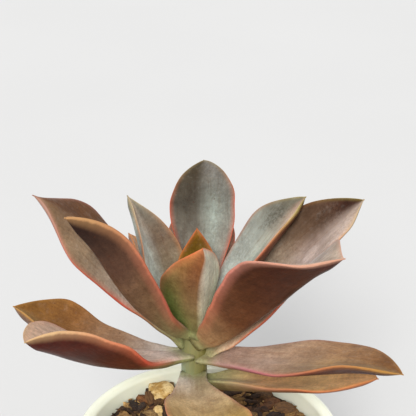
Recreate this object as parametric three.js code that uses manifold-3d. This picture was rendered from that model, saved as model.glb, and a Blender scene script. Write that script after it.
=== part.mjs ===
// A leggy rosette succulent in a round glazed pot. Millimetres, +Z up.
// The origin is the centre of the pot's flat foot; -Y is the plant's front, +X its right.
import * as THREE from "three";
import { mergeVertices } from "three/addons/utils/BufferGeometryUtils.js";
import Module from "manifold-3d";

const wasm = await Module();
wasm.setup();

// Pot
const potHeight = 82;
const rimDiameter = 90;
const footDiameter = 64;
const potWall = 4.5;
const floorThickness = 6;
const footBevel = 1.5;
const potSegments = 44;

// Potting mix
const soilDrop = 6;
const soilBump = 0.7;
const soilRings = 5;
const soilSegments = 30;

// Stem
const stemDiameter = 8.6;
const stemX = -4.5;
const stemY = 2;
const stemBury = 24;
const stemBare = 38;
const crownHeight = 48;
const crownTaper = 3.6;
const scarBulge = 0.5;
const scarSpacing = 11.5;
const stemSegments = 14;

// The gap between neighbouring pieces.
const gap = 0.3;

// Leaf build: stations along the blade, and places across it from one margin to the other.
const stations = [0, 0.07, 0.16, 0.28, 0.4, 0.52, 0.63, 0.73, 0.82, 0.9, 0.96];
const across = [-1, -0.8, -0.42, 0, 0.42, 0.8, 1];
const leafThickness = 5.2;
const marginThickness = 0.9;
const waveHeight = 0.5;
const waveCount = 2.3;
const flareSpread = 0.12;
const flareEnd = 0.12;
const neckShare = 0.6;
const neckLength = 0.14;
const baseFlesh = 0.6;

// heading: compass direction, 0 to the right and 90 to the back, in degrees.
// rise: climb at the base; curl: change of climb to the tip; hook: the same, near the tip alone.
// sweep: change of heading to the tip; veer: the same, near the tip alone.
// attach: height of the base above the soil. reach: the base's distance from the stem's middle,
// where it isn't the stem's own skin. roll, twist and tipTurn turn the blade about its midrib: at its
// base, steadily to the tip, and in the last of the tip alone.
// cupBase and cupTip: how far the margins fold up. baseShare: base width over blade width.
// widest: where the blade is widest along its length. point: how sharply it narrows to the tip.
// flare and flareAt: height and place of a fold in the right margin. neck: how far the base narrows to
// meet the stem, where it differs from the usual share. ridge: a sharp keel down the underside.
const leaves = [
  {
    name: "leaf_low_right_near", heading: 343, rise: 9, curl: 12, hook: -1, sweep: -6, veer: -12,
    length: 59, width: 25, attach: 26, roll: -4, twist: 9, cupBase: 27, cupTip: 11,
    baseShare: 0.39, widest: 0.67, point: 0.95,
  },
  {
    name: "leaf_low_front", heading: 267, rise: 9, curl: 8, hook: -6, sweep: 32, veer: 5,
    length: 61, width: 26, attach: 29.5, roll: 3, twist: -13, cupBase: 18, cupTip: 24,
    baseShare: 0.36, widest: 0.65, point: 0.8, neck: 1,
  },
  {
    name: "leaf_low_right_far", heading: 336, rise: 8, curl: 14, hook: -24, sweep: -8, veer: 1,
    length: 67.5, width: 26, attach: 36.5, roll: 7, twist: -19, cupBase: 3, cupTip: 12,
    baseShare: 0.35, widest: 0.64, point: 0.8, neck: 0.95, flare: 2.2, flareAt: 0.78,
  },
  {
    name: "leaf_low_left_near", heading: 209, rise: 6, curl: 47, hook: -25, sweep: 21, veer: 4,
    length: 65, width: 33, attach: 37, roll: 13, twist: -1, cupBase: -2, cupTip: 38,
    baseShare: 0.28, widest: 0.58, point: 0.7, neck: 0.95,
  },
  {
    name: "leaf_low_left_far", heading: 186, rise: -5, curl: 37, hook: 2, sweep: -32, veer: 12,
    length: 58.5, width: 28.5, attach: 36, roll: 4, twist: 7, cupBase: 15, cupTip: 30,
    baseShare: 0.35, widest: 0.71, point: 0.85,
  },
  {
    name: "leaf_back_left", heading: 109, rise: 13, curl: 1, hook: 6, sweep: 7, veer: 8,
    length: 59, width: 25.5, attach: 37, roll: 28, twist: 14, cupBase: 27, cupTip: 18,
    baseShare: 0.4, widest: 0.61, point: 0.75,
  },
  {
    name: "leaf_back_right", heading: 62, rise: 14, curl: 0, hook: -8, sweep: 3, veer: -6,
    length: 59, width: 26, attach: 37, roll: 0, twist: 0, cupBase: 25, cupTip: 12,
    baseShare: 0.4, widest: 0.62, point: 0.75,
  },
  {
    name: "leaf_back_middle", heading: 87, rise: 28, curl: -10, hook: -5, sweep: 0, veer: 6,
    length: 60, width: 25, attach: 40.5, roll: 1, twist: 0, cupBase: 25, cupTip: 12,
    baseShare: 0.4, widest: 0.62, point: 0.75,
  },
  {
    name: "leaf_mid_right_far", heading: -3, rise: 50, curl: -1, hook: -3, sweep: -7, veer: 16,
    length: 72.5, width: 34.5, attach: 38.5, roll: 35, twist: -27, cupBase: 15, cupTip: 21,
    baseShare: 0.48, widest: 0.61, point: 0.85, flare: -2.4, flareAt: 0.95,
  },
  {
    name: "leaf_mid_left_far", heading: 179, rise: 54, curl: -2, hook: -15, sweep: 13, veer: 10,
    length: 70, width: 29, attach: 42, roll: -19, twist: 0, cupBase: 1, cupTip: -5,
    baseShare: 0.34, widest: 0.68, point: 1.6,
  },
  {
    name: "leaf_mid_right_near", heading: 307, rise: 39, curl: 17, hook: -29, sweep: 16, veer: -1,
    length: 76, width: 38.5, attach: 42.5, roll: -24, twist: 14, tipTurn: 8, cupBase: 31, cupTip: 23,
    baseShare: 0.3, widest: 0.76, point: 1.2, neck: 1, flare: -2.6, flareAt: 0.94,
  },
  {
    name: "leaf_mid_left_near", heading: 236, rise: 38, curl: 37, hook: -35, sweep: -20, veer: -8,
    length: 73.5, width: 18, attach: 46.5, roll: 21, twist: 0, cupBase: -2, cupTip: 45,
    baseShare: 0.28, widest: 0.69, point: 0.75, neck: 0.8,
  },
  {
    name: "leaf_upper_right", heading: 14, rise: 64, curl: -17, hook: -4, sweep: -7, veer: 17,
    length: 55.5, width: 26, attach: 43.5, roll: 3, twist: -10, cupBase: 15, cupTip: 25,
    baseShare: 0.36, widest: 0.63, point: 0.8, flare: -1, flareAt: 0.88,
  },
  {
    name: "leaf_upper_left", heading: 153, rise: 60, curl: 15, hook: -10, sweep: -7, veer: 12,
    length: 47.5, width: 20.5, attach: 44.5, roll: -16, twist: 6, cupBase: 24, cupTip: 51,
    baseShare: 0.4, widest: 0.55, point: 1.1,
  },
  {
    name: "leaf_upper_back", heading: 81, rise: 51, curl: -28, hook: 1, sweep: 14, veer: -6,
    length: 62, width: 24, attach: 45, roll: 15, twist: -30, cupBase: 34, cupTip: 12,
    baseShare: 0.33, widest: 0.65, point: 0.7,
  },
  {
    name: "leaf_bud_front", heading: 280, rise: 87, curl: -28, hook: 20, sweep: -1, veer: 24,
    length: 36, width: 25.5, attach: 46.5, roll: 7, twist: 6, cupBase: 44, cupTip: 31,
    baseShare: 0.72, widest: 0.42, point: 0.8, neck: 1, ridge: true,
  },
  {
    name: "leaf_bud_back", heading: 81, rise: 87, curl: -3, hook: 0, sweep: 3, veer: 6,
    length: 31, width: 14.5, attach: 47.5, roll: 3, twist: 10, cupBase: 24, cupTip: 17,
    baseShare: 0.4, widest: 0.52, point: 0.95,
  },
  {
    name: "leaf_heart_left", heading: 175, rise: 84, curl: -6, hook: 0, sweep: 0, veer: 0,
    length: 19, width: 10, attach: 49.5, reach: 1.6, roll: 0, twist: 0, cupBase: 30, cupTip: 20,
    baseShare: 0.5, widest: 0.5, point: 0.9,
  },
  {
    name: "leaf_heart_right", heading: 10, rise: 82, curl: -6, hook: 0, sweep: 0, veer: 0,
    length: 15, width: 8, attach: 49.5, reach: 1.6, roll: 0, twist: 0, cupBase: 30, cupTip: 20,
    baseShare: 0.5, widest: 0.5, point: 0.9,
  },
];

// Loose pieces on the soil: place, size along X, Y and Z, and turn about Z in degrees.
const loosePieces = [
  { name: "pumice_pebble", x: -17, y: 30.5, size: [10, 8, 6.5], turn: 10, detail: 2 },
  { name: "bark_chip_back", x: 9, y: 30, size: [11, 6, 3.5], turn: 20, detail: 1 },
  { name: "bark_chip_right", x: 27, y: 20, size: [12, 7, 4], turn: 55, detail: 1 },
  { name: "bark_chip_left", x: -29, y: 12, size: [12, 6, 4], turn: 100, detail: 1 },
  { name: "bark_chip_front", x: 6, y: -27, size: [13, 7, 4], turn: -15, detail: 1 },
  { name: "bark_chip_front_left", x: -22, y: -20, size: [10, 7, 4], turn: 35, detail: 1 },
  { name: "grit_stone", x: -17, y: 19, size: [5, 4, 3.5], turn: 0, detail: 1 },
];

const rimRadius = rimDiameter / 2;
const footRadius = footDiameter / 2;
const soilTop = potHeight - soilDrop;
const stemRadius = stemDiameter / 2;
const crownRadius = (stemDiameter - crownTaper) / 2;

function radians(degrees) {
  return THREE.MathUtils.degToRad(degrees);
}

// Outer radius of the pot at height z, on a straight taper with a slight belly.
function potRadiusAt(z) {
  const t = z / potHeight;
  return footRadius + (rimRadius - footRadius) * t + 1.5 * Math.sin(Math.PI * t);
}

function solidOf(geometry) {
  const plain = new THREE.BufferGeometry();
  const source = geometry.index ? geometry.toNonIndexed() : geometry;
  plain.setAttribute("position", source.getAttribute("position"));
  const merged = mergeVertices(plain, 1e-3);
  return new wasm.Manifold(
    new wasm.Mesh({
      numProp: 3,
      vertProperties: merged.attributes.position.array,
      triVerts: new Uint32Array(merged.index.array),
    }),
  );
}

function geometryOf(solid) {
  const mesh = solid.getMesh();
  const points = new Float32Array(mesh.numVert * 3);
  for (let i = 0; i < mesh.numVert; i++) {
    points.set(mesh.vertProperties.subarray(i * mesh.numProp, i * mesh.numProp + 3), i * 3);
  }
  const geometry = new THREE.BufferGeometry();
  geometry.setAttribute("position", new THREE.BufferAttribute(points, 3));
  geometry.setIndex(new THREE.BufferAttribute(mesh.triVerts, 1));
  return geometry;
}

// A solid that stands clear of the piece by the gap all round, to cut its neighbours with.
function clearanceOf(geometry) {
  const grown = geometry.clone();
  grown.computeVertexNormals();
  const position = grown.getAttribute("position");
  const normal = grown.getAttribute("normal");
  for (let i = 0; i < position.count; i++) {
    position.setXYZ(
      i,
      position.getX(i) + gap * normal.getX(i),
      position.getY(i) + gap * normal.getY(i),
      position.getZ(i) + gap * normal.getZ(i),
    );
  }
  return solidOf(grown);
}

// The largest body of a solid that a cut may have left in several pieces.
function largestBody(solid) {
  const bodies = solid.decompose();
  return bodies.reduce((best, body) => (body.volume() > best.volume() ? body : best));
}

// A closed surface through rings of points, with a point closing each end.
// Each ring runs left over the top and back under the bottom as seen from the first end.
function ringsGeometry(rings, first, last) {
  const count = rings[0].length;
  const points = [...rings.flat(), first, last];
  const firstIndex = rings.length * count;
  const faces = [];
  for (let j = 0; j < count; j++) {
    const k = (j + 1) % count;
    faces.push(firstIndex, j, k);
    faces.push(firstIndex + 1, firstIndex - count + k, firstIndex - count + j);
    for (let i = 0; i + 1 < rings.length; i++) {
      const a = i * count;
      const b = a + count;
      faces.push(a + j, b + j, b + k);
      faces.push(a + j, b + k, a + k);
    }
  }
  const geometry = new THREE.BufferGeometry();
  geometry.setFromPoints(points);
  geometry.setIndex(faces);
  return geometry;
}

// Share of the full width at place s along the blade.
function widthShare(leaf, s) {
  if (s < leaf.widest) {
    const narrow = leaf.neck ?? neckShare;
    const neck = narrow + (1 - narrow) * THREE.MathUtils.smoothstep(s, 0, neckLength);
    return neck * (leaf.baseShare + (1 - leaf.baseShare) * Math.sin(((Math.PI / 2) * s) / leaf.widest) ** 2);
  }
  const t = (s - leaf.widest) / (1 - leaf.widest);
  return Math.max(Math.cos((Math.PI / 2) * t), 0) ** leaf.point;
}

// The midrib's direction, the direction across the blade and the one out of its upper face.
function leafAxes(leaf, s) {
  const climb = radians(leaf.rise + leaf.curl * s + leaf.hook * s ** 5);
  const heading = radians(leaf.heading + leaf.sweep * s + leaf.veer * s ** 5);
  const along = new THREE.Vector3(
    Math.cos(heading) * Math.cos(climb),
    Math.sin(heading) * Math.cos(climb),
    Math.sin(climb),
  );
  const roll = radians(leaf.roll + leaf.twist * s + (leaf.tipTurn ?? 0) * s ** 10);
  const side = new THREE.Vector3(-Math.sin(heading), Math.cos(heading), 0).applyAxisAngle(along, roll);
  const up = new THREE.Vector3().crossVectors(along, side);
  return { along, side, up };
}

// Rise and fall of the margins along the blade, with the flare in the right one.
function marginWave(leaf, s, u) {
  const phase = radians(leaf.heading * 3 + (u > 0 ? 140 : 0));
  const wave = waveHeight * u * u * Math.sin(2 * Math.PI * waveCount * s + phase) * Math.sin(Math.PI * s);
  if (!leaf.flare) {
    return wave;
  }
  const fade = THREE.MathUtils.smoothstep(1 - s, 0, flareEnd);
  const fold = leaf.flare * Math.exp(-(((s - leaf.flareAt) / flareSpread) ** 2)) * fade;
  return wave + fold * Math.min(u, 0) ** 2;
}

// One ring of points round the blade.
function leafRing(leaf, s, centre) {
  const { side, up } = leafAxes(leaf, s);
  const half = (widthShare(leaf, s) * leaf.width) / 2;
  const cup = radians(leaf.cupBase + (leaf.cupTip - leaf.cupBase) * s);
  const plump = baseFlesh + (1 - baseFlesh) * THREE.MathUtils.smoothstep(s, 0, neckLength);
  const thickness = (leafThickness - marginThickness) * (1 - 0.55 * s) * plump;
  const edge = (marginThickness / 2) * (1 - 0.4 * s);
  const place = (u, level) => {
    const out = u * half * Math.cos(cup);
    const lift = half * Math.sin(cup) * Math.abs(u) ** 1.5 + level + marginWave(leaf, s, u);
    return centre.clone().addScaledVector(side, out).addScaledVector(up, lift);
  };
  const lens = (u) => Math.sqrt(1 - Math.abs(u) ** 2.4);
  const soft = (u) => 0.75 * lens(u) * (1 - 0.3 * Math.abs(u));
  const sharp = (u) => 0.9 * (1 - Math.abs(u)) ** 0.9;
  const keel = leaf.ridge ? sharp : soft;
  const top = across.map((u) => place(u, edge + 0.25 * thickness * lens(u)));
  const bottom = across.map((u) => place(u, -edge - thickness * keel(u)));
  return [...top, ...bottom.reverse()];
}

// The midrib's points: the base starts on the stem and the steps follow the climb and sweep.
function leafMidrib(leaf) {
  const heading = radians(leaf.heading);
  const reach = leaf.reach ?? stemRadius + gap;
  const point = new THREE.Vector3(
    stemX + reach * Math.cos(heading),
    stemY + reach * Math.sin(heading),
    soilTop + leaf.attach,
  );
  const points = [point.clone()];
  const marks = [...stations, 1];
  for (let i = 1; i < marks.length; i++) {
    const step = marks[i] - marks[i - 1];
    const { along } = leafAxes(leaf, marks[i] - step / 2);
    point.addScaledVector(along, leaf.length * step);
    points.push(point.clone());
  }
  return points;
}

function leafGeometry(leaf) {
  const midrib = leafMidrib(leaf);
  const rings = stations.map((s, i) => leafRing(leaf, s, midrib[i]));
  return ringsGeometry(rings, midrib[0], midrib.at(-1));
}

// Stem radius at a height above the soil: bare and round below, tapering to the growing tip.
function stemRadiusAt(height) {
  const taper = THREE.MathUtils.clamp((height - stemBare) / (crownHeight - stemBare), 0, 1);
  return stemRadius + (crownRadius - stemRadius) * taper;
}

// Heights above the soil, with a leaf scar's ring bulging out at each third mark.
function stemGeometry() {
  const marks = [-stemBury];
  for (let scar = 0; scar < 3; scar++) {
    const height = 2 + scar * scarSpacing;
    marks.push(height - 1.6, height, height + 1.6);
  }
  marks.push(stemBare, (stemBare + crownHeight) / 2, crownHeight);
  const rings = marks.map((height, i) => {
    const isScar = i > 0 && i < 10 && i % 3 === 2;
    const radius = stemRadiusAt(height) + (isScar ? scarBulge : 0);
    return ringAt(stemX, stemY, soilTop + height, radius);
  });
  const foot = new THREE.Vector3(stemX, stemY, soilTop + marks[0]);
  const crown = new THREE.Vector3(stemX, stemY, soilTop + marks.at(-1) + 1);
  return ringsGeometry(rings, foot, crown);
}

function ringAt(x, y, z, radius) {
  const ring = [];
  for (let j = 0; j < stemSegments; j++) {
    const angle = (-2 * Math.PI * j) / stemSegments;
    ring.push(new THREE.Vector3(x + radius * Math.cos(angle), y + radius * Math.sin(angle), z));
  }
  return ring;
}

function potGeometry() {
  const outer = [0.12, 0.35, 0.6, 0.82].map((t) => {
    return new THREE.Vector2(potRadiusAt(t * potHeight), t * potHeight);
  });
  const inner = outer.map((p) => new THREE.Vector2(p.x - potWall, p.y)).reverse();
  const lipRadius = potWall / 2;
  const lip = [];
  for (let i = 0; i <= 6; i++) {
    const angle = (Math.PI * i) / 6;
    const x = rimRadius - lipRadius + lipRadius * Math.cos(angle);
    lip.push(new THREE.Vector2(x, potHeight - lipRadius + lipRadius * Math.sin(angle)));
  }
  const profile = [
    new THREE.Vector2(0, 0),
    new THREE.Vector2(footRadius - footBevel, 0),
    new THREE.Vector2(footRadius, footBevel),
    ...outer,
    ...lip,
    ...inner,
    new THREE.Vector2(potRadiusAt(floorThickness) - potWall - 2, floorThickness),
    new THREE.Vector2(0, floorThickness),
  ];
  return new THREE.LatheGeometry(profile, potSegments).rotateX(Math.PI / 2);
}

// Height of the potting mix at a place, rolling a little from lump to lump.
function soilHeightAt(x, y) {
  return soilTop + soilBump * Math.sin(0.31 * x + 1.1) * Math.cos(0.27 * y + 0.4);
}

function soilGeometry() {
  const rings = [];
  const ring = (radiusOf, heightOf) => {
    const points = [];
    for (let j = 0; j < soilSegments; j++) {
      const angle = (-2 * Math.PI * j) / soilSegments;
      const radius = radiusOf();
      const x = radius * Math.cos(angle);
      const y = radius * Math.sin(angle);
      points.push(new THREE.Vector3(x, y, heightOf(x, y)));
    }
    rings.push(points);
  };
  const insideAt = (z) => potRadiusAt(z) - potWall - 2 * gap;
  const bottom = floorThickness + gap;
  ring(() => insideAt(bottom) - 2, () => bottom);
  for (const t of [0.12, 0.35, 0.6, 0.82]) {
    const z = t * potHeight;
    ring(() => insideAt(z), () => z);
  }
  for (let i = 0; i < soilRings; i++) {
    const radius = insideAt(soilTop) * (1 - i / soilRings) - gap;
    ring(() => radius, soilHeightAt);
  }
  const centre = new THREE.Vector3(0, 0, soilHeightAt(0, 0));
  return ringsGeometry(rings, new THREE.Vector3(0, 0, bottom), centre);
}

// Share of its distance from the middle at which a loose piece rests, less than all of it only where
// the wall leaves no room.
function restingShare(piece) {
  const aside = Math.atan2(piece.y, piece.x) - radians(piece.turn);
  const reach = Math.hypot(piece.size[0] * Math.cos(aside), piece.size[1] * Math.sin(aside)) / 2;
  const room = potRadiusAt(soilTop) - potWall - gap - reach;
  return Math.min(1, room / Math.hypot(piece.x, piece.y));
}

// A lump with soft corners: a ball squeezed to size, with its corners moved in and out.
function lumpGeometry(piece) {
  const ball = mergeVertices(new THREE.IcosahedronGeometry(1, piece.detail).deleteAttribute("normal")
    .deleteAttribute("uv"), 1e-3);
  const position = ball.getAttribute("position");
  for (let i = 0; i < position.count; i++) {
    const x = position.getX(i);
    const y = position.getY(i);
    const z = position.getZ(i);
    const uneven = 1 + 0.12 * Math.sin(3 * x + 2 * piece.turn) * Math.cos(3 * y + z + piece.turn);
    position.setXYZ(
      i,
      (x * uneven * piece.size[0]) / 2,
      (y * uneven * piece.size[1]) / 2,
      (z * piece.size[2]) / 2,
    );
  }
  ball.rotateZ(radians(piece.turn));
  const x = piece.x * restingShare(piece);
  const y = piece.y * restingShare(piece);
  ball.translate(x, y, soilHeightAt(x, y) + piece.size[2] / 4);
  return ball;
}

function glaze() {
  return new THREE.MeshStandardMaterial({ color: 0xeeefe0, roughness: 0.25, metalness: 0 });
}

function pottingMix() {
  return new THREE.MeshStandardMaterial({ color: 0x5a3e22, roughness: 0.95, metalness: 0 });
}

function stemSkin() {
  return new THREE.MeshStandardMaterial({ color: 0x9a9c66, roughness: 0.6, metalness: 0 });
}

function leafSkin() {
  return new THREE.MeshStandardMaterial({ color: 0x9a8674, roughness: 0.5, metalness: 0 });
}

function pumice() {
  return new THREE.MeshStandardMaterial({ color: 0xc0a161, roughness: 0.9, metalness: 0 });
}

function bark() {
  return new THREE.MeshStandardMaterial({ color: 0x6b4c28, roughness: 0.9, metalness: 0 });
}

function add(group, name, geometry, material) {
  geometry.computeVertexNormals();
  const mesh = new THREE.Mesh(geometry, material);
  mesh.name = name;
  group.add(mesh);
}

function build() {
  const group = new THREE.Group();
  group.name = "potted_succulent";
  add(group, "pot", potGeometry(), glaze());
  add(group, "stem", stemGeometry(), stemSkin());

  // Each leaf gives way to the stem and to the leaves that grew before it.
  const grown = [clearanceOf(stemGeometry())];
  for (const leaf of leaves) {
    const blade = leafGeometry(leaf);
    const body = grown.reduce((left, earlier) => left.subtract(earlier), solidOf(blade));
    add(group, leaf.name, geometryOf(largestBody(body)), leafSkin());
    grown.push(clearanceOf(blade));
  }

  // The loose pieces and the stem are bedded in the soil.
  let soil = solidOf(soilGeometry()).subtract(grown[0]);
  for (const piece of loosePieces) {
    const isBark = piece.name.startsWith("bark");
    const lump = lumpGeometry(piece);
    add(group, piece.name, lump, isBark ? bark() : pumice());
    soil = soil.subtract(clearanceOf(lump));
  }
  add(group, "soil", geometryOf(largestBody(soil)), pottingMix());
  return group;
}

export default build();
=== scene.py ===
import math

import bmesh
import bpy
import numpy as np
from mathutils import Matrix, Vector, noise


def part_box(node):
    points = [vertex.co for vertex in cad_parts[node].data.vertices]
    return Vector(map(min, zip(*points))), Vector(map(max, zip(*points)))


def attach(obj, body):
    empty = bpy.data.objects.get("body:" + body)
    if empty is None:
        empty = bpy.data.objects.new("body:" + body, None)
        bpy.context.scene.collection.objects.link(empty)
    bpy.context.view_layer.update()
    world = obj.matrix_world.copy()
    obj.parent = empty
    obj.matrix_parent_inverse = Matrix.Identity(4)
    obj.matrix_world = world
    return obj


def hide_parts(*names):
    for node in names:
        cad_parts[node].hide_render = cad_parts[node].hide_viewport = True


MM = 0.001

# Sizes of the model, in millimetres, as in the part's source.
POT_HEIGHT = 82
RIM_RADIUS = 45
FOOT_RADIUS = 32
POT_WALL = 4.5
FLOOR_THICKNESS = 6
SOIL_TOP = 76
STEM_RADIUS = 4.3
STEM_X = -4.5
STEM_Y = 2
STEM_BURY = 24
STEM_BARE = 38
CROWN_HEIGHT = 48
CROWN_RADIUS = 2.5
GAP = 0.3
LEAF_THICKNESS = 5.2
WAVE_HEIGHT = 0.5
WAVE_COUNT = 2.3
FLARE_SPREAD = 0.12
FLARE_END = 0.12
NECK_SHARE = 0.6
NECK_LENGTH = 0.14
BASE_FLESH = 0.6

# The drawn margins, thinner than the model's own.
MARGIN_THICKNESS = 0.7

# How many bark flakes are tried, less those that would meet the stem, and how many of the first are large.
FLAKES = 1500
LARGE_FLAKES = 420

# The camera's place in metres, its turn up from straight down in degrees, lens and sensor in millimetres.
CAMERA_PLACE = (0, -0.3281, 0.3216)
CAMERA_TURN = 64.6
LENS = 102.3
SENSOR = 36

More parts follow.
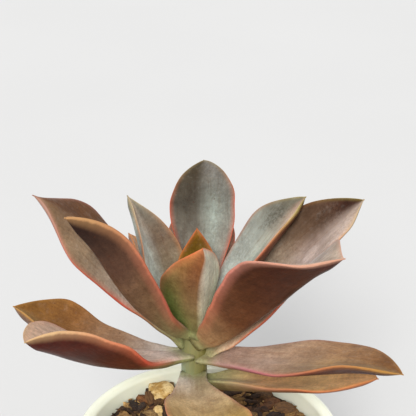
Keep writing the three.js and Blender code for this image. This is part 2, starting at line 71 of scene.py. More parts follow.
# The leaves. Their shapes are as in the part's source, and most of those values were solved by a fitting
# program. heading, rise, curl, hook, sweep, veer, roll, twist, tip_turn and cup are in degrees; length,
# width, attach and reach in millimetres. tip_turn turns the last of the tip about its midrib. flare is the
# height and place along the blade of a fold in the right margin.
# top and under are each face's colours at four marks from base to tip; top_right and under_right are
# those right of the midrib, where they differ, and under_edge those of the outer right underside.
# margin is the thin rim's colours, margin_right the right one's where they differ, rim how strongly it
# shows and rim_width how broad it is. mint is a pale stripe: strength and place across the blade.
# stain is a dark mottled patch: strength, place along and place across.
LEAVES = [
    dict(name="leaf_low_right_near", heading=343, rise=9, curl=12, hook=-1, sweep=-6, veer=-12,
         length=59, width=25, attach=26, roll=-4, twist=9, cup=(27, 11),
         base=0.39, widest=0.67, point=0.95,
         top="9c946a c49867 d8ae72 d29f68",
         under="7c6a44 7c5a3c 70482e 6a4028",
         margin="98906c a8785c b4603c b06a3c", rim=0.8),
    dict(name="leaf_low_front", heading=267, rise=9, curl=8, hook=-6, sweep=32, veer=5,
         length=61, width=26, attach=29.5, roll=3, twist=-13, cup=(18, 24),
         base=0.36, widest=0.65, point=0.8, neck=1,
         top="b0a284 b09a7a b0945e be9e5c", top_right="cec4ba ccb48c b69660 c29858",
         under="8c7a50 805c44 7a4f38 744a34",
         margin="b08870 c0806a c8785c c0703c", rim=0.8),
    dict(name="leaf_low_right_far", heading=336, rise=8, curl=14, hook=-24, sweep=-8, veer=1,
         length=67.5, width=26, attach=36.5, roll=7, twist=-19, cup=(3, 12),
         base=0.35, widest=0.64, point=0.8, neck=0.95, flare=(2.2, 0.78),
         top="ac8e80 ac9078 987450 704820", top_right="a28779 ac9280 a88658 86602c",
         under="8c6a50 6a3a28 401408 3c1608",
         margin="a8747c b0606a b8704c b08040", rim=0.75),
    dict(name="leaf_low_left_near", heading=209, rise=6, curl=47, hook=-25, sweep=21, veer=4,
         length=65, width=33, attach=37, roll=13, twist=-1, cup=(-2, 38),
         base=0.28, widest=0.58, point=0.7, neck=0.95,
         top="ccb9b0 dcbea8 ceb09a d8b69a",
         under="7c7c50 562c1a 431706 400d01",
         margin="c07860 c8523c c87c58 c8a478", rim=1, rim_width=1.5),
    dict(name="leaf_low_left_far", heading=186, rise=-5, curl=37, hook=2, sweep=-32, veer=12,
         length=58.5, width=28.5, attach=36, roll=4, twist=7, cup=(15, 30),
         base=0.35, widest=0.71, point=0.85,
         top="bcb2a8 a8866a 8a6036 a8844e", top_right="baafa6 a08064 845a30 765022",
         under="7a4a34 603a26 563321 5a3a24",
         margin="a88468 a4784c a4703c b08040", rim=0.8),
    dict(name="leaf_back_left", heading=109, rise=13, curl=1, hook=6, sweep=7, veer=8,
         length=59, width=25.5, attach=37, roll=28, twist=14, cup=(27, 18),
         base=0.4, widest=0.61, point=0.75,
         top="a8947e ac8c64 a87c4c b07c46",
         under="5c481f 5c3a1c 6a3e2a 744a2c",
         margin="b87850 c07848 c07848 c07838", rim=0.9),
    dict(name="leaf_back_right", heading=62, rise=14, curl=0, hook=-8, sweep=3, veer=-6,
         length=59, width=26, attach=37, roll=0, twist=0, cup=(25, 12),
         base=0.4, widest=0.62, point=0.75,
         top="a8947e a08468 8c6a4c 7c5a3e",
         under="7a5a44 6e442e 663a26 5a3220",
         margin="b86450 b8583c b8583c b06a3c", rim=0.9),
    dict(name="leaf_back_middle", heading=87, rise=28, curl=-10, hook=-5, sweep=0, veer=6,
         length=60, width=25, attach=40.5, roll=1, twist=0, cup=(25, 12),
         base=0.4, widest=0.62, point=0.75,
         top="a8947e 968474 806858 6a4c3c",
         under="7a5a44 6e442e 663a26 5a3220",
         margin="b86450 b8583c b8583c b06a3c", rim=0.9),
    dict(name="leaf_mid_right_far", heading=-3, rise=50, curl=-1, hook=-3, sweep=-7, veer=16,
         length=72.5, width=34.5, attach=38.5, roll=35, twist=-27, cup=(15, 21),
         base=0.48, widest=0.61, point=0.85, flare=(-2.4, 0.95),
         top="b8a88c b0a490 745e4c 3c2012", top_right="ccb294 c6b298 c6b4ac a69488",
         under="a08864 8c6448 74462e 4e2c1e",
         margin="b8603c b04830 9c4428 88783c", rim=0.95, stain=(0.9, 0.86, 0.45),
         margin_right="b8603c b04c34 b8543c b09878"),
    dict(name="leaf_mid_left_far", heading=179, rise=54, curl=-2, hook=-15, sweep=13, veer=10,
         length=70, width=29, attach=42, roll=-19, twist=0, cup=(1, -5),
         base=0.34, widest=0.68, point=1.6,
         top="98946c a09286 87735c 7c6044", top_right="8c8458 6c4c34 603b18 613c1d",
         under="806c52 8c7464 786c64 6a6058",
         margin="989068 b84c38 ac5844 a07868", rim=0.95, stain=(0.7, 0.8, -0.5)),
    dict(name="leaf_mid_right_near", heading=307, rise=39, curl=17, hook=-29, sweep=16, veer=-1,
         length=76, width=38.5, attach=42.5, roll=-24, twist=14, tip_turn=8, cup=(31, 23),
         base=0.3, widest=0.76, point=1.2, neck=1, flare=(-2.6, 0.94),
         top="b0a89c b4ada8 bcb4b0 b2a08f",
         under="9a7854 5c3822 482616 3a150a",
         margin="c87458 cc7a60 cc8070 c09078", rim=1, rim_width=1.4),
    dict(name="leaf_mid_left_near", heading=236, rise=38, curl=37, hook=-35, sweep=-20, veer=-8,
         length=73.5, width=18, attach=46.5, roll=21, twist=0, cup=(-2, 45),
         base=0.28, widest=0.69, point=0.75, neck=0.8,
         top="a09078 907868 826450 6a4a3a",
         under="7c7650 6e553c 54392a 200e07",
         margin="b06048 b86450 b86c50 b08458", rim=1, rim_width=1.2),
    dict(name="leaf_upper_right", heading=14, rise=64, curl=-17, hook=-4, sweep=-7, veer=17,
         length=55.5, width=26, attach=43.5, roll=3, twist=-10, cup=(15, 25),
         base=0.36, widest=0.63, point=0.8, flare=(-1, 0.88),
         top="9ca49a a0a69f 8c9088 676355", top_right="b4c4bc b8ccc6 b4ae9c b09481",
         under="9a8c6c 84604a 6a4030 583426",
         margin="b86850 b86c4c b86848 9c8c54", rim=0.9, stain=(0.9, 0.8, 0.35), mint=(0.55, -0.35)),
    dict(name="leaf_upper_left", heading=153, rise=60, curl=15, hook=-10, sweep=-7, veer=12,
         length=47.5, width=20.5, attach=44.5, roll=-16, twist=6, cup=(24, 51),
         base=0.4, widest=0.55, point=1.1,
         top="c0c8bc d4dcd4 d8ded8 ccb8a4", top_right="989078 92866e 6c5a4a 67645a",
         under="a8b4a4 b8c8c0 b8ccc8 80867c",
         margin="c08858 c09050 c08058 a89878", rim=0.9, mint=(0.35, 0.3)),
    dict(name="leaf_upper_back", heading=81, rise=51, curl=-28, hook=1, sweep=14, veer=-6,
         length=62, width=24, attach=45, roll=15, twist=-30, cup=(34, 12),
         base=0.33, widest=0.65, point=0.7,
         top="94978c 706a60 4c463c 403728", top_right="908880 827e74 6c6c64 64605a",
         under="9a8468 845c44 6a4232 583426",
         margin="b86058 b8583c b84c30 8c7850", rim=0.95, stain=(0.6, 0.7, 0.5), mint=(0.3, -0.3)),
    dict(name="leaf_bud_front", heading=280, rise=87, curl=-28, hook=20, sweep=-1, veer=24,
         length=36, width=25.5, attach=46.5, roll=7, twist=6, cup=(44, 31),
         base=0.72, widest=0.42, point=0.8, neck=1, ridge=True,
         top="8c8a50 8a7c48 88703c 7c5c30",
         # The pale grey under colours, left of the midrib, are partly painted light: that face of the ridge
         # is painted much lighter than the olive-brown right one, over its own grey.
         under="b0b490 ccc8b0 d0cdbc d2cfbe", under_right="747044 745e3e 704c30 885430",
         under_edge="5c7838 68783e 846c44 a87444",
         # These margin colours are partly a painted highlight along the rounded edges, over the margin's own
         # orange and green.
         margin="8c9850 c08c60 d08660 c86c40", rim=0.8),
    dict(name="leaf_bud_back", heading=81, rise=87, curl=-3, hook=0, sweep=3, veer=6,
         length=31, width=14.5, attach=47.5, roll=3, twist=10, cup=(24, 17),
         base=0.4, widest=0.52, point=0.95,
         top="707a30 685c24 604e1b 6c4c16",
         under="8c8a50 8c7440 8c6634 8c5a2c",
         margin="b87838 b87438 b86c34 b05c30", rim=0.9),
    dict(name="leaf_heart_left", heading=175, rise=84, curl=-6, hook=0, sweep=0, veer=0,
         length=19, width=10, attach=49.5, reach=1.6, roll=0, twist=0, cup=(30, 20),
         base=0.5, widest=0.5, point=0.9,
         top="7c8c3c 848838 8c8038 8c6a2c",
         under="7c8c3c 848838 8c8038 8c6a2c",
         margin="b87838 b87838 b87038 b05c30", rim=0.9),
    dict(name="leaf_heart_right", heading=10, rise=82, curl=-6, hook=0, sweep=0, veer=0,
         length=15, width=8, attach=49.5, reach=1.6, roll=0, twist=0, cup=(30, 20),
         base=0.5, widest=0.5, point=0.9,
         top="7c8c3c 848838 8c8038 8c6a2c",
         under="7c8c3c 848838 8c8038 8c6a2c",
         margin="b87838 b87838 b87038 b05c30", rim=0.9),
]

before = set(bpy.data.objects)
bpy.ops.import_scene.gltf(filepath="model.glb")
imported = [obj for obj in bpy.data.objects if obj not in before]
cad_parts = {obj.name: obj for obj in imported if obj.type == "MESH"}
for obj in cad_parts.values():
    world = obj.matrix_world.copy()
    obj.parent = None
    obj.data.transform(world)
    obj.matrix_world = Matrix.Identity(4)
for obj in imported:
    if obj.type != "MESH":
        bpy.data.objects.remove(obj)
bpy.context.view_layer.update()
chance = np.random.default_rng(7)


# ---------------------------------------------------------------- small helpers


def linear(colour):
    """Linear red, green and blue of a colour written as six hexadecimal digits."""
    parts = [int(colour[i : i + 2], 16) / 255 for i in (0, 2, 4)]
    return np.array([p / 12.92 if p <= 0.04045 else ((p + 0.055) / 1.055) ** 2.4 for p in parts])


def smooth(low, high, x):
    t = np.clip((x - low) / (high - low), 0, 1)
    return t * t * (3 - 2 * t)


def make_mesh(name, points, faces, floats=None, colours=None, material=None):
    """A smooth-shaded mesh object, from points in metres, with its point attributes."""
    mesh = bpy.data.meshes.new(name)
    mesh.from_pydata([tuple(p) for p in points], [], faces)
    mesh.polygons.foreach_set("use_smooth", [True] * len(mesh.polygons))
    for key, values in (floats or {}).items():
        attribute = mesh.attributes.new(key, "FLOAT", "POINT")
        attribute.data.foreach_set("value", np.asarray(values, np.float32).ravel())
    for key, values in (colours or {}).items():
        attribute = mesh.attributes.new(key, "FLOAT_COLOR", "POINT")
        rgba = np.ones((len(points), 4), np.float32)
        rgba[:, :3] = values
        attribute.data.foreach_set("color", rgba.ravel())
    mesh.update()
    thing = bpy.data.objects.new(name, mesh)
    bpy.context.scene.collection.objects.link(thing)
    if material:
        mesh.materials.append(material)
    return thing


def ring_faces(rings, around, offset=0):
    """Quads between rings of points that each run once round."""
    faces = []
    for i in range(rings - 1):
        for j in range(around):
            k = (j + 1) % around
            a = offset + i * around
            b = a + around
            faces.append((a + j, b + j, b + k, a + k))
    return faces


def end_faces(count, around):
    """The first and last rings' own faces, which close a tube of that many points."""
    return [tuple(range(around)), tuple(range(count - 1, count - around - 1, -1))]


def wear(piece, slot, *nodes):
    """The piece rides on the plant and stands for its CAD nodes; slot is not used."""
    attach(piece, "root")
    if nodes:
        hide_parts(*nodes)
    return piece


class Shader:
    """Builds one material's node tree."""

    def __init__(self, name):
        self.material = bpy.data.materials.new(name)
        self.material.use_nodes = True
        self.tree = self.material.node_tree
        self.bsdf = self.tree.nodes["Principled BSDF"]

    def node(self, kind, **inputs):
        made = self.tree.nodes.new(kind)
        for key, value in inputs.items():
            self.put(made, key, value)
        return made

    def put(self, node, key, value):
        socket = node.inputs[key.replace("_", " ")] if isinstance(key, str) else node.inputs[key]
        if isinstance(value, bpy.types.NodeSocket):
            self.tree.links.new(value, socket)
        else:
            socket.default_value = value

    def attribute(self, name, output="Fac"):
        made = self.tree.nodes.new("ShaderNodeAttribute")
        made.attribute_name = name
        return made.outputs[output]

    def coordinates(self):
        return self.tree.nodes.new("ShaderNodeTexCoord").outputs["Object"]

    def stretch(self, vector, scale):
        made = self.node("ShaderNodeMapping", Vector=vector)
        made.inputs["Scale"].default_value = scale
        return made.outputs["Vector"]

    def noise(self, vector, scale, detail=4.0, roughness=0.55):
        made = self.node("ShaderNodeTexNoise", Vector=vector, Scale=scale, Detail=detail, Roughness=roughness)
        return made.outputs["Fac"]

    def cells(self, vector, scale):
        made = self.node("ShaderNodeTexVoronoi", Vector=vector, Scale=scale)
        return made.outputs["Distance"]

    def span(self, value, from_low, from_high, to_low=0.0, to_high=1.0):
        made = self.tree.nodes.new("ShaderNodeMapRange")
        made.interpolation_type = "SMOOTHSTEP"
        for index, number in enumerate((value, from_low, from_high, to_low, to_high)):
            self.put(made, index, number)
        return made.outputs["Result"]

    def math(self, operation, a, b=0.0):
        made = self.tree.nodes.new("ShaderNodeMath")
        made.operation = operation
        self.put(made, 0, a)
        self.put(made, 1, b)
        return made.outputs["Value"]

    def mix(self, factor, a, b, blend="MIX"):
        made = self.tree.nodes.new("ShaderNodeMix")
        made.data_type = "RGBA"
        made.blend_type = blend
        self.put(made, 0, factor)
        self.put(made, 6, a if isinstance(a, bpy.types.NodeSocket) else (*a, 1))
        self.put(made, 7, b if isinstance(b, bpy.types.NodeSocket) else (*b, 1))
        return made.outputs[2]

    def times(self, colour, factors):
        return self.mix(1.0, colour, factors, "MULTIPLY")

    def bump(self, height, strength, distance, normal=None):
        made = self.node("ShaderNodeBump", Height=height, Strength=strength, Distance=distance)
        if normal:
            self.put(made, "Normal", normal)
        return made.outputs["Normal"]

    def finish(self, **inputs):
        for key, value in inputs.items():
            self.put(self.bsdf, key, value)
        return self.material


# ---------------------------------------------------------------- materials


def leaf_skin():
    """Waxy skin: the leaf's own colours, streaks and bloom along it, a thin warm margin, a few scars."""
    s = Shader("leaf_skin")
    where = s.attribute("skin", "Vector")
    tint = s.attribute("tint", "Color")
    margin = s.attribute("margin_tint", "Color")
    edge = s.attribute("edge")
    rim = s.attribute("rim")
    under = s.attribute("under")
    cloud = s.noise(where, 0.13, 5.0, 0.6)
    streak = s.noise(s.stretch(where, (0.06, 0.6, 1.0)), 1.0, 7.0, 0.72)
    grain = s.noise(where, 0.95, 6.0, 0.78)
    blotch = s.noise(where, 0.42, 6.0, 0.7)
    colour = s.mix(s.span(cloud, 0.32, 0.68), s.times(tint, (0.8, 0.77, 0.75)),
                   s.times(tint, (1.2, 1.2, 1.19)))
    colour = s.mix(s.span(streak, 0.5, 0.7, 0.0, 0.75), colour, s.times(colour, (0.78, 0.67, 0.6)))
    colour = s.mix(s.span(streak, 0.5, 0.32, 0.0, 0.7), colour, s.times(colour, (1.16, 1.2, 1.22)))
    colour = s.mix(s.span(grain, 0.34, 0.66), s.times(colour, (0.83, 0.81, 0.8)),
                   s.times(colour, (1.19, 1.19, 1.19)))
    mottle = s.math("MULTIPLY", s.attribute("stain"), s.span(grain, 0.4, 0.62))
    colour = s.mix(mottle, colour, s.times(colour, (0.3, 0.26, 0.22)))
    smudge = s.span(blotch, 0.55, 0.68, 0.0, 0.55)
    colour = s.mix(smudge, colour, s.times(colour, (0.74, 0.66, 0.6)))
    bloom = s.math("MULTIPLY", s.span(blotch, 0.5, 0.25, 0.0, 0.1), s.math("SUBTRACT", 1.0, under))
    colour = s.mix(bloom, colour, linear("b8b4ac"))
    flecks = s.cells(where, 0.45)
    patches = s.span(s.noise(where, 0.22, 2.0), 0.58, 0.64)
    fleck = s.math("MULTIPLY", s.span(flecks, 0.05, 0.2, 1.0, 0.0), patches)
    colour = s.mix(s.math("MULTIPLY", fleck, 0.6), colour, linear("40200f"))
    wander = s.math("ADD", edge, s.math("MULTIPLY", s.math("SUBTRACT", blotch, 0.5), 0.6))
    blush = s.math("MULTIPLY", s.span(wander, 0.2, 2.2, 0.36, 0.0), rim)
    colour = s.mix(blush, colour, margin)
    line = s.math("MULTIPLY", s.span(wander, 0.05, 0.5, 0.92, 0.0), rim)
    colour = s.mix(line, colour, margin)
    normal = s.bump(grain, 0.15, 0.0002)
    normal = s.bump(streak, 0.3, 0.0003, normal)
    normal = s.bump(cloud, 0.4, 0.0009, normal)
    return s.finish(
        Base_Color=colour,
        Roughness=s.span(streak, 0.3, 0.7, 0.38, 0.54),
        Normal=normal,
        Subsurface_Weight=0.06,
        Subsurface_Radius=(0.6, 0.3, 0.15),
        Subsurface_Scale=0.002,
        Specular_IOR_Level=0.15,
    )


def glaze():
    """Cream-white glaze with a soft mottle, thin pooling and a few pinholes."""
    s = Shader("cream_glaze")
    where = s.coordinates()
    pool = s.noise(where, 22.0, 3.0)
    speck = s.cells(where, 420.0)
    colour = s.mix(s.span(pool, 0.35, 0.7), linear("f4f6e4"), linear("eef1d8"))
    patches = s.span(s.noise(where, 60.0, 1.0), 0.55, 0.62)
    pin = s.math("MULTIPLY", s.span(speck, 0.0, 0.07, 1.0, 0.0), patches)
    colour = s.mix(s.math("MULTIPLY", pin, 0.45), colour, linear("a89878"))
    normal = s.bump(s.noise(where, 38.0, 2.0), 0.18, 0.0008)
    normal = s.bump(pin, 0.3, -0.0003, normal)
    return s.finish(
        Base_Color=colour,
        Roughness=s.span(pool, 0.3, 0.7, 0.16, 0.26),
        Normal=normal,
        Coat_Weight=0.6,
        Coat_Roughness=0.08,
        Subsurface_Weight=0.05,
        Subsurface_Radius=(1.0, 0.9, 0.6),
        Subsurface_Scale=0.002,
    )


def stem_skin():
    """Smooth green skin, with a painted highlight in pale mint down one side, corky at the scars."""
    s = Shader("stem_skin")
    where = s.coordinates()
    scar = s.attribute("scar")
    painted_highlight = s.attribute("mint")
    fibre = s.noise(s.stretch(where, (900.0, 900.0, 120.0)), 1.0, 4.0)
    # Painted highlight: one side of the stem is painted pale mint.
    colour = s.mix(painted_highlight, linear("6a6430"), linear("a8bca0"))
    colour = s.mix(s.span(fibre, 0.4, 0.7, 0.0, 0.4), colour, linear("847a48"))
    colour = s.mix(s.math("MULTIPLY", scar, 0.6), colour, linear("8a6c48"))
    normal = s.bump(fibre, 0.3, 0.0003)
    return s.finish(
        Base_Color=colour,
        Roughness=s.span(fibre, 0.3, 0.7, 0.42, 0.6),
        Normal=normal,
        Subsurface_Weight=0.08,
        Subsurface_Radius=(0.5, 0.6, 0.25),
        Subsurface_Scale=0.002,
    )


def bark_skin():
    """Fibrous bark: each chip keeps its own brown, with grain along it, darkened in the grooves partly as
    painted shade.
    """
    s = Shader("bark_skin")
    tint = s.attribute("tint", "Color")
    grain_at = s.attribute("grain", "Vector")
    fibre = s.noise(s.stretch(grain_at, (0.35, 3.2, 3.2)), 1.0, 6.0, 0.7)
    lumps = s.noise(grain_at, 0.5, 4.0)
    # Darker in the grooves of the grain: partly the bark's own darker fibre, partly painted shade.
    colour = s.mix(s.span(fibre, 0.42, 0.62), s.times(tint, (0.35, 0.3, 0.27)), tint)
    colour = s.mix(s.span(lumps, 0.5, 0.7, 0.0, 0.5), colour, s.times(tint, (1.5, 1.42, 1.3)))
    normal = s.bump(fibre, 0.8, 0.0006)
    return s.finish(Base_Color=colour, Roughness=s.span(fibre, 0.3, 0.7, 0.95, 0.8), Normal=normal)


def soil_skin():
    """Dark fine mix under the bark."""
    s = Shader("soil_skin")
    where = s.coordinates()
    grit = s.noise(where, 700.0, 6.0, 0.7)
    clod = s.noise(where, 160.0, 4.0)
    colour = s.mix(s.span(grit, 0.35, 0.7), linear("1a0f08"), linear("4c3018"))
    colour = s.mix(s.span(clod, 0.5, 0.7, 0.0, 0.6), colour, linear("6a4826"))
    normal = s.bump(grit, 1.0, 0.001)
    return s.finish(Base_Color=colour, Roughness=s.span(grit, 0.3, 0.7, 0.98, 0.88), Normal=normal)


def pumice_skin():
    """Tan pumice: chalky, pitted, with darker stains and painted shade in the pits."""
    s = Shader("pumice_skin")
    where = s.coordinates()
    pits = s.cells(where, 1100.0)
    stain = s.noise(where, 330.0, 5.0)
    colour = s.mix(s.span(stain, 0.35, 0.65), linear("a8803e"), linear("dcc088"))
    # Painted shade: the pits are darkened towards deep brown.
    colour = s.mix(s.span(pits, 0.05, 0.3, 0.55, 0.0), colour, linear("7c5c2c"))
    normal = s.bump(s.span(pits, 0.0, 0.35), 0.6, 0.0004)
    normal = s.bump(stain, 0.5, 0.0008, normal)
    return s.finish(Base_Color=colour, Roughness=s.span(stain, 0.3, 0.7, 0.95, 0.85), Normal=normal)


# ---------------------------------------------------------------- leaves


def width_share(leaf, s):
    narrow = leaf.get("neck", NECK_SHARE)
    rise = leaf["base"] + (1 - leaf["base"]) * np.sin(math.pi / 2 * np.minimum(s / leaf["widest"], 1)) ** 2
    rise = rise * (narrow + (1 - narrow) * smooth(0, NECK_LENGTH, s))
    t = np.clip((s - leaf["widest"]) / (1 - leaf["widest"]), 0, 1)
    fall = np.maximum(np.cos(math.pi / 2 * t), 0) ** leaf["point"]
    return np.where(s < leaf["widest"], rise, fall)


def leaf_axes(leaf, s):
    """Along the midrib, across the blade, and out of its upper face, at each place s."""
    climb = np.radians(leaf["rise"] + leaf["curl"] * s + leaf["hook"] * np.maximum(s, 0) ** 5)
    heading = np.radians(leaf["heading"] + leaf["sweep"] * s + leaf["veer"] * np.maximum(s, 0) ** 5)
    along = np.stack([np.cos(heading) * np.cos(climb), np.sin(heading) * np.cos(climb), np.sin(climb)], -1)
    level = np.stack([-np.sin(heading), np.cos(heading), 0 * heading], -1)
    lift = np.cross(along, level)
    turn = leaf["twist"] * s + leaf.get("tip_turn", 0) * np.maximum(s, 0) ** 10
    roll = np.radians(leaf["roll"] + turn)[:, None]
    side = np.cos(roll) * level + np.sin(roll) * lift
    return along, side, np.cross(along, side)


def leaf_midrib(leaf, s):
    heading = math.radians(leaf["heading"])
    reach = leaf.get("reach", STEM_RADIUS + GAP)
    start = np.array(
        [STEM_X + reach * math.cos(heading), STEM_Y + reach * math.sin(heading), SOIL_TOP + leaf["attach"]]
    )
    middles = (s[1:] + s[:-1]) / 2
    steps = leaf_axes(leaf, middles)[0] * (np.diff(s) * leaf["length"])[:, None]
    points = np.vstack([np.zeros(3), np.cumsum(steps, 0)])
    before = s < 0
    points -= points[np.count_nonzero(before)]
    return start + points


BANDS = (0.1, 0.35, 0.65, 0.92)


def ramp(colours, s):
    """Linear colour at each place s, from four colours between base and tip."""
    marks = np.array([linear(c) for c in colours.split()])
    return np.stack([np.interp(s, BANDS, marks[:, k]) for k in range(3)], -1)


def leaf_tint(leaf, s, u, under):
    """Colour of the skin at each point."""
    crisp = 0.05 if leaf.get("ridge") else 0.4
    right = smooth(crisp, -crisp, u)[:, None]
    top = ramp(leaf["top"], s) * (1 - right) + ramp(leaf.get("top_right", leaf["top"]), s) * right
    low = ramp(leaf["under"], s) * (1 - right) + ramp(leaf.get("under_right", leaf["under"]), s) * right
    strength, place = leaf.get("mint", (0, 0))
    stripe = strength * np.exp(-(((u - place) / 0.28) ** 2)) * smooth(0.05, 0.35, s) * smooth(0.9, 0.6, s)
    top = top * (1 - stripe[:, None]) + linear("abbcb2") * stripe[:, None]
    if "under_edge" in leaf:
        outer = (right[:, 0] * smooth(0.3, 0.9, np.abs(u)))[:, None]
        low = low * (1 - outer) + ramp(leaf["under_edge"], s) * outer
    skin = top * (1 - under[:, None]) + low * under[:, None]
    fresh = 0.75 * smooth(0.1, 0.0, s)[:, None]
    return skin * (1 - fresh) + linear("8f9466") * fresh


def margin_tint(leaf, s, u):
    """Colour of the thin rim at each point."""
    left = ramp(leaf["margin"], s)
    right = ramp(leaf.get("margin_right", leaf["margin"]), s)
    return np.where(u[:, None] < 0, right, left)


def stain(leaf, s, u):
    """Strength of the dark mottling at each point, from its strength and place along and across."""
    strength, along, across = leaf.get("stain", (0, 0, 0))
    return strength * np.exp(-(((s - along) / 0.16) ** 2) - ((u - across) / 0.55) ** 2)


def margin_wave(leaf, s, u):
    """Rise and fall of the margins along the blade, with the flare in the right one."""
    phase = np.radians(leaf["heading"] * 3 + np.where(u > 0, 140, 0))
    ripple = np.sin(2 * math.pi * WAVE_COUNT * s[:, None] + phase)
    wave = WAVE_HEIGHT * u**2 * ripple * np.sin(math.pi * s)[:, None]
    height, place = leaf.get("flare", (0, 1))
    fold = height * np.exp(-(((s - place) / FLARE_SPREAD) ** 2)) * smooth(1, 1 - FLARE_END, s)
    return wave + fold[:, None] * np.minimum(u, 0) ** 2


def blade(leaf, s, u):
    """Midrib, half width, and upper and lower face, at each place s along and share u across."""
    midrib = leaf_midrib(leaf, s)
    _, side, up = leaf_axes(leaf, s)
    nub = 0.36 * np.sqrt(np.clip((1.005 - s) / 0.02, 0, 1)) * (s > 0.9)
    half = np.maximum(width_share(leaf, np.clip(s, 0, 1)) * leaf["width"] / 2, nub)
    cup = np.radians(leaf["cup"][0] + (leaf["cup"][1] - leaf["cup"][0]) * s)
    plump = BASE_FLESH + (1 - BASE_FLESH) * smooth(0, NECK_LENGTH, s)
    thickness = (LEAF_THICKNESS - MARGIN_THICKNESS) * (1 - 0.55 * s) * plump
    edge = MARGIN_THICKNESS / 2 * (1 - 0.4 * s)
    round_edge = np.sqrt(np.clip(1 - np.abs(u) ** 8, 0, 1))
    lens = np.sqrt(np.clip(1 - np.abs(u) ** 2.4, 0, 1))
    keel = 0.75 * lens * (1 - 0.3 * np.abs(u))
    if leaf.get("ridge"):
        keel = 0.9 * (1 - np.abs(u)) ** 0.9
    lift = (half * np.sin(cup))[:, None] * np.abs(u) ** 1.5 + margin_wave(leaf, s, u)
    out = (half * np.cos(cup))[:, None] * u
    thin = np.sqrt(np.clip(smooth(1.0, 0.9, s), 0.02, 1))[:, None]
    top = lift + (edge[:, None] * round_edge + 0.25 * thickness[:, None] * lens) * thin
    low = lift - (edge[:, None] * round_edge + thickness[:, None] * keel) * thin
    flat = midrib[:, None] + side[:, None] * out[..., None]
    upper, lower = (flat + up[:, None] * level[..., None] for level in (top, low))
    return midrib, half, upper, lower


def leaf_mesh(leaf, skin):
    """One leaf as a closed skin, with what its colours need at each point."""
    along_count, across_count = 64, 25
    s = np.concatenate([[-0.035], np.sin(np.linspace(0, math.pi / 2, along_count)) ** 1.15])
    s[-1] = 0.998
    s = np.append(s, (1.001, 1.003, 1.004))
    u = np.sin(math.pi / 2 * np.linspace(-1, 1, across_count))
    midrib, half, upper, lower = blade(leaf, s, u)
    loop = np.concatenate([upper, lower[:, -2:0:-1]], 1)
    around = loop.shape[1]
    across = np.concatenate([u, u[-2:0:-1]])
    under = np.concatenate([np.zeros(across_count), np.ones(across_count - 2)])
    points = loop.reshape(-1, 3)
    all_s = np.repeat(s, around)
    all_u = np.tile(across, len(s))
    all_under = np.tile(under, len(s))
    # Slow swells in the flesh, a fraction of a millimetre high.
    centre = np.repeat(midrib, around, 0)
    swell = np.array([noise.noise(Vector(p) * 0.11) for p in points])
    points = points + (points - centre) * (0.05 * swell)[:, None]
    faces = ring_faces(len(s), around)
    faces += end_faces(len(points), around)
    rim = (1 - np.abs(all_u)) * np.repeat(half, around)
    piece = make_mesh(
        leaf["name"] + "_skin",
        points * MM,
        faces,
        {
            "edge": rim / leaf.get("rim_width", 1),
            "rim": leaf["rim"] * smooth(0.02, 0.3, all_s),
            "under": all_under,
            "stain": stain(leaf, all_s, all_u) * (1 - all_under),
        },
        {"tint": leaf_tint(leaf, all_s, all_u, all_under), "margin_tint": margin_tint(leaf, all_s, all_u)},
        skin,
    )
    flat = np.stack([all_s * leaf["length"], all_u * np.repeat(half, around), all_under * 50], -1)
    attribute = piece.data.attributes.new("skin", "FLOAT_VECTOR", "POINT")
    attribute.data.foreach_set("vector", (flat + 40 * LEAVES.index(leaf)).astype(np.float32).ravel())
    return wear(piece, "leaf", leaf["name"])


# ---------------------------------------------------------------- pot, stem and soil


def pot_radius(z):
    t = z / POT_HEIGHT
    return FOOT_RADIUS + (RIM_RADIUS - FOOT_RADIUS) * t + 1.5 * math.sin(math.pi * t)


def pot_profile():
    """Radius and height round the wall, from the middle of the foot over the lip to the floor."""
    lip = POT_WALL / 2
    profile = [(0.0, 0.6), (24.0, 0.6), (26.0, 0.4), (27.5, 0.0), (30.5, 0.0)]
    for i in range(7):
        angle = math.radians(-90 + 15 * i)
        profile.append((30.5 + 1.5 * math.cos(angle), 1.5 + 1.5 * math.sin(angle)))
    for z in np.linspace(4, POT_HEIGHT - lip - 4, 26):
        profile.append((pot_radius(z), z))
    for i in range(17):
        angle = math.pi * i / 16
        profile.append((RIM_RADIUS - lip + lip * math.cos(angle), POT_HEIGHT - lip + lip * math.sin(angle)))
    for z in np.linspace(POT_HEIGHT - lip - 4, FLOOR_THICKNESS + 3, 16):
        profile.append((pot_radius(z) - POT_WALL, z))
    profile += [(pot_radius(FLOOR_THICKNESS) - POT_WALL - 2, FLOOR_THICKNESS), (0.0, FLOOR_THICKNESS)]
    return profile


def make_pot():
    around = 160
    profile = pot_profile()
    points = []
    for r, z in profile:
        for j in range(around):
            a = 2 * math.pi * j / around
            wobble = 1 + 0.003 * math.sin(2 * a + 0.6) + 0.0015 * math.sin(5 * a + 0.05 * z)
            points.append((r * wobble * math.cos(a) * MM, r * wobble * math.sin(a) * MM, z * MM))
    faces = ring_faces(len(profile), around)
    pot = make_mesh("pot_glazed", points, [tuple(reversed(f)) for f in faces], material=glaze())
    return wear(pot, "glaze", "pot")


def stem_radius(height):
    taper = min(max((height - STEM_BARE) / (CROWN_HEIGHT - STEM_BARE), 0), 1)
    return STEM_RADIUS + (CROWN_RADIUS - STEM_RADIUS) * taper


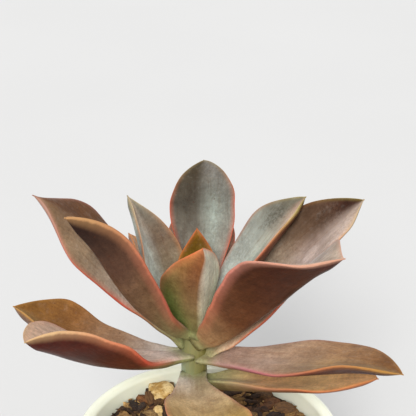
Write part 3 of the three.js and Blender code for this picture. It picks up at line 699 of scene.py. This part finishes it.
def make_stem():
    around = 48
    scars = (2, 13.5, 21, 25)
    points, scar, mint = [], [], []
    heights = np.linspace(-STEM_BURY, CROWN_HEIGHT + 1, 150)
    for h in heights:
        ridge = sum(math.exp(-(((h - at) / 0.7) ** 2)) for at in scars)
        for j in range(around):
            a = 2 * math.pi * j / around
            spot = Vector((math.cos(a), math.sin(a), h * 0.12))
            r = stem_radius(h) + 0.35 * ridge + 0.18 * noise.noise(spot * 1.6)
            x, y = STEM_X + r * math.cos(a), STEM_Y + r * math.sin(a)
            points.append((x * MM, y * MM, (SOIL_TOP + h) * MM))
            scar.append(min(ridge, 1) * 0.6 + (0.5 if h < 8 else 0))
            # Painted highlight: the stem's left side is painted pale mint, less of it higher up.
            pale = 0.5 - 0.5 * math.cos(a + 0.5)
            mint.append(pale * (1 - 0.75 * float(smooth(24, 38, h))))
    faces = ring_faces(len(heights), around)
    faces = [tuple(reversed(f)) for f in faces]
    faces += end_faces(len(points), around)
    stem = make_mesh("stem_skin", points, faces, {"scar": scar, "mint": mint}, material=stem_skin())
    return wear(stem, "stem", "stem")


def soil_level(x, y):
    """Height of the fine mix in millimetres."""
    spot = Vector((x, y, 0))
    return SOIL_TOP - 1.2 + 1.1 * noise.noise(spot * 0.12) + 0.6 * noise.noise(spot * 0.4)


def make_soil():
    around, rings = 120, 60
    inside = pot_radius(SOIL_TOP) - POT_WALL - 0.35
    points = []
    for i in range(rings):
        r = inside * (1 - i / (rings - 1)) + 0.01
        for j in range(around):
            a = 2 * math.pi * j / around
            x, y = r * math.cos(a), r * math.sin(a)
            points.append((x * MM, y * MM, soil_level(x, y) * MM))
    soil = make_mesh("soil_mix", points, ring_faces(rings, around), material=soil_skin())
    return wear(soil, "soil", "soil")


def chip_shape(size, seed):
    """Points and faces of one bark flake: a broken, layered sliver with its grain along X."""
    around, rings = 8, 6
    points, grain = [], []
    local = np.random.default_rng(seed)
    lean = local.uniform(-0.25, 0.25)
    for i in range(rings):
        x = -1 + 2 * i / (rings - 1)
        blunt = (1 - abs(x) ** 3 * local.uniform(0.25, 0.7)) * local.uniform(0.85, 1.1)
        for j in range(around):
            a = 2 * math.pi * (j + 0.5) / around
            y, z = math.cos(a), math.sin(a)
            y = math.copysign(abs(y) ** 0.6, y)
            z = math.copysign(abs(z) ** 0.6, z)
            spread = 1 + local.uniform(-0.13, 0.13)
            at = (x + local.uniform(-0.06, 0.06), (y * blunt + lean * x) * spread, z * blunt * spread)
            points.append([at[k] * size[k] / 2 for k in range(3)])
            grain.append([at[k] * size[k] / 2 + seed % 97 * 3.1 for k in range(3)])
    faces = [tuple(reversed(f)) for f in ring_faces(rings, around)]
    faces += end_faces(len(points), around)
    return np.array(points), np.array(grain), faces


BARK_COLOURS = ["6b4a26", "7d5a30", "4c3014", "a07a46", "3c2410", "bc9860", "6e4520", "94703c"]


class Heap:
    """Collects chips into one mesh."""

    def __init__(self):
        self.points, self.grain, self.tint, self.faces = [], [], [], []

    def add(self, points, grain, faces, place, turn, colour):
        start = sum(len(p) for p in self.points)
        self.points.append(points @ np.array(turn.to_3x3()).T + place)
        self.grain.append(grain)
        self.tint.append(np.tile(colour, (len(points), 1)))
        self.faces += [tuple(start + k for k in f) for f in faces]

    def build(self, name, material):
        tint = {"tint": np.vstack(self.tint)}
        piece = make_mesh(name, np.vstack(self.points) * MM, self.faces, colours=tint, material=material)
        attribute = piece.data.attributes.new("grain", "FLOAT_VECTOR", "POINT")
        attribute.data.foreach_set("vector", np.vstack(self.grain).astype(np.float32).ravel())
        piece.data.polygons.foreach_set("use_smooth", [False] * len(piece.data.polygons))
        return piece


def make_bark(material):
    """Loose bark all over the soil, flat flakes first and crumbs between."""
    heap = Heap()
    inside = pot_radius(SOIL_TOP) - POT_WALL
    for k in range(FLAKES):
        big = k < LARGE_FLAKES
        length = chance.uniform(4, 9.5) if big else chance.uniform(1.2, 3.6)
        size = (length, length * chance.uniform(0.3, 0.65), length * chance.uniform(0.12, 0.35))
        r = (inside - length * 0.45) * math.sqrt(chance.uniform(0, 1))
        a = chance.uniform(0, 2 * math.pi)
        x, y = r * math.cos(a), r * math.sin(a)
        if math.hypot(x - STEM_X, y - STEM_Y) < STEM_RADIUS + 0.35 * length:
            continue
        z = soil_level(x, y) + size[2] * 0.3 + chance.uniform(0, 1.1)
        turn = Matrix.Rotation(chance.uniform(0, 2 * math.pi), 4, "Z")
        turn = turn @ Matrix.Rotation(chance.normal(0, 0.35), 4, "Y")
        turn = turn @ Matrix.Rotation(chance.normal(0, 0.5), 4, "X")
        colour = linear(BARK_COLOURS[int(chance.integers(len(BARK_COLOURS)))]) * chance.uniform(0.7, 1.25)
        points, grain, faces = chip_shape(size, k + 11)
        heap.add(points, grain, faces, np.array([x, y, z]), turn, colour)
    return wear(heap.build("bark_flakes", material), "bark")


def lump(name, node, slot, material, roughness, seed):
    """A stone or chunk in its CAD node's box, with an uneven, pitted surface."""
    low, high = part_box(node)
    middle, reach = (low + high) / 2, (high - low) / 2
    ball = bpy.data.meshes.new(name)
    piece = bpy.data.objects.new(name, ball)
    bpy.context.scene.collection.objects.link(piece)
    b = bmesh.new()
    bmesh.ops.create_icosphere(b, subdivisions=5, radius=1)
    for v in b.verts:
        n = v.co.normalized()
        uneven = 1 + roughness * noise.noise(n * 1.7 + Vector((seed, 0, 0)))
        uneven += 0.35 * roughness * noise.noise(n * 4.5 + Vector((0, seed, 0)))
        uneven += 0.12 * roughness * noise.noise(n * 12 + Vector((0, 0, seed)))
        box = [math.copysign(abs(c) ** 0.85, c) for c in n]
        v.co = Vector([middle[k] + reach[k] * box[k] * uneven * 0.97 for k in range(3)])
    b.to_mesh(ball)
    b.free()
    ball.polygons.foreach_set("use_smooth", [True] * len(ball.polygons))
    ball.materials.append(material)
    return wear(piece, slot, node)


def bark_chunk(name, node, material, seed):
    """A larger bark piece in its CAD node's box."""
    low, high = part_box(node)
    middle, size = (low + high) / 2 / MM, (high - low) / MM
    heap = Heap()
    for layer in range(3):
        part = (size[0] * (0.95 - 0.12 * layer), size[1] * (0.9 - 0.1 * layer), size[2] * 0.42)
        points, grain, faces = chip_shape(part, seed * 31 + layer)
        place = np.array([middle[0], middle[1], middle[2] + (layer - 1) * size[2] * 0.24])
        colour = linear(BARK_COLOURS[(seed + layer) % len(BARK_COLOURS)]) * 1.25
        heap.add(points, grain, faces, place, Matrix.Rotation(0.12 * layer, 4, "Z"), colour)
    return wear(heap.build(name, material), "bark", node)


# ---------------------------------------------------------------- studio


def make_floor():
    s = Shader("pale_floor")
    where = s.coordinates()
    tone = s.noise(where, 4.0, 2.0)
    colour = s.mix(s.span(tone, 0.3, 0.7), (0.595, 0.595, 0.595), (0.605, 0.605, 0.605))
    s.finish(Base_Color=colour, Roughness=0.9, Specular_IOR_Level=0.1)
    size = 6.0
    corners = [(-size, -size, 0), (size, -size, 0), (size, size, 0), (-size, size, 0)]
    floor = make_mesh("floor", corners, [(0, 1, 2, 3)], material=s.material)


def sun(name, heading, height, strength, softness, colour):
    """A lamp in the sky: compass heading and height in degrees, softness its width in degrees."""
    data = bpy.data.lights.new(name, "SUN")
    data.energy = strength
    data.angle = math.radians(softness)
    data.color = colour
    lamp = bpy.data.objects.new(name, data)
    lamp.rotation_euler = (math.radians(90 - height), 0, math.radians(heading + 90))
    bpy.context.scene.collection.objects.link(lamp)


def make_studio():
    world = bpy.data.worlds.new("studio")
    bpy.context.scene.world = world
    world.use_nodes = True
    background = world.node_tree.nodes["Background"]
    background.inputs["Color"].default_value = (1.0, 1.0, 1.0, 1)
    background.inputs["Strength"].default_value = 0.86
    sun("key", 262, 34, 3.0, 18, (1.0, 0.995, 0.98))
    bpy.context.scene.view_settings.view_transform = "Standard"


def make_camera():
    """Looks 25 degrees down from the front, 0.4 m from the rim."""
    data = bpy.data.cameras.new("camera")
    data.lens = LENS
    data.sensor_width = SENSOR
    data.clip_start = 0.01
    camera = bpy.data.objects.new("camera", data)
    camera.location = CAMERA_PLACE
    camera.rotation_euler = (math.radians(CAMERA_TURN), 0, 0)
    bpy.context.scene.collection.objects.link(camera)
    bpy.context.scene.camera = camera


# ---------------------------------------------------------------- build

make_camera()
make_studio()
make_floor()
make_pot()
make_stem()
make_soil()
bark = bark_skin()
make_bark(bark)
stone = pumice_skin()
lump("pumice_pebble_skin", "pumice_pebble", "pumice", stone, 0.22, 3)
lump("grit_stone_skin", "grit_stone", "pumice", stone, 0.35, 9)
for index, node in enumerate(sorted(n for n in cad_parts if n.startswith("bark_chip"))):
    bark_chunk(node + "_bark", node, bark, index + 2)
skin = leaf_skin()
for leaf in LEAVES:
    leaf_mesh(leaf, skin)
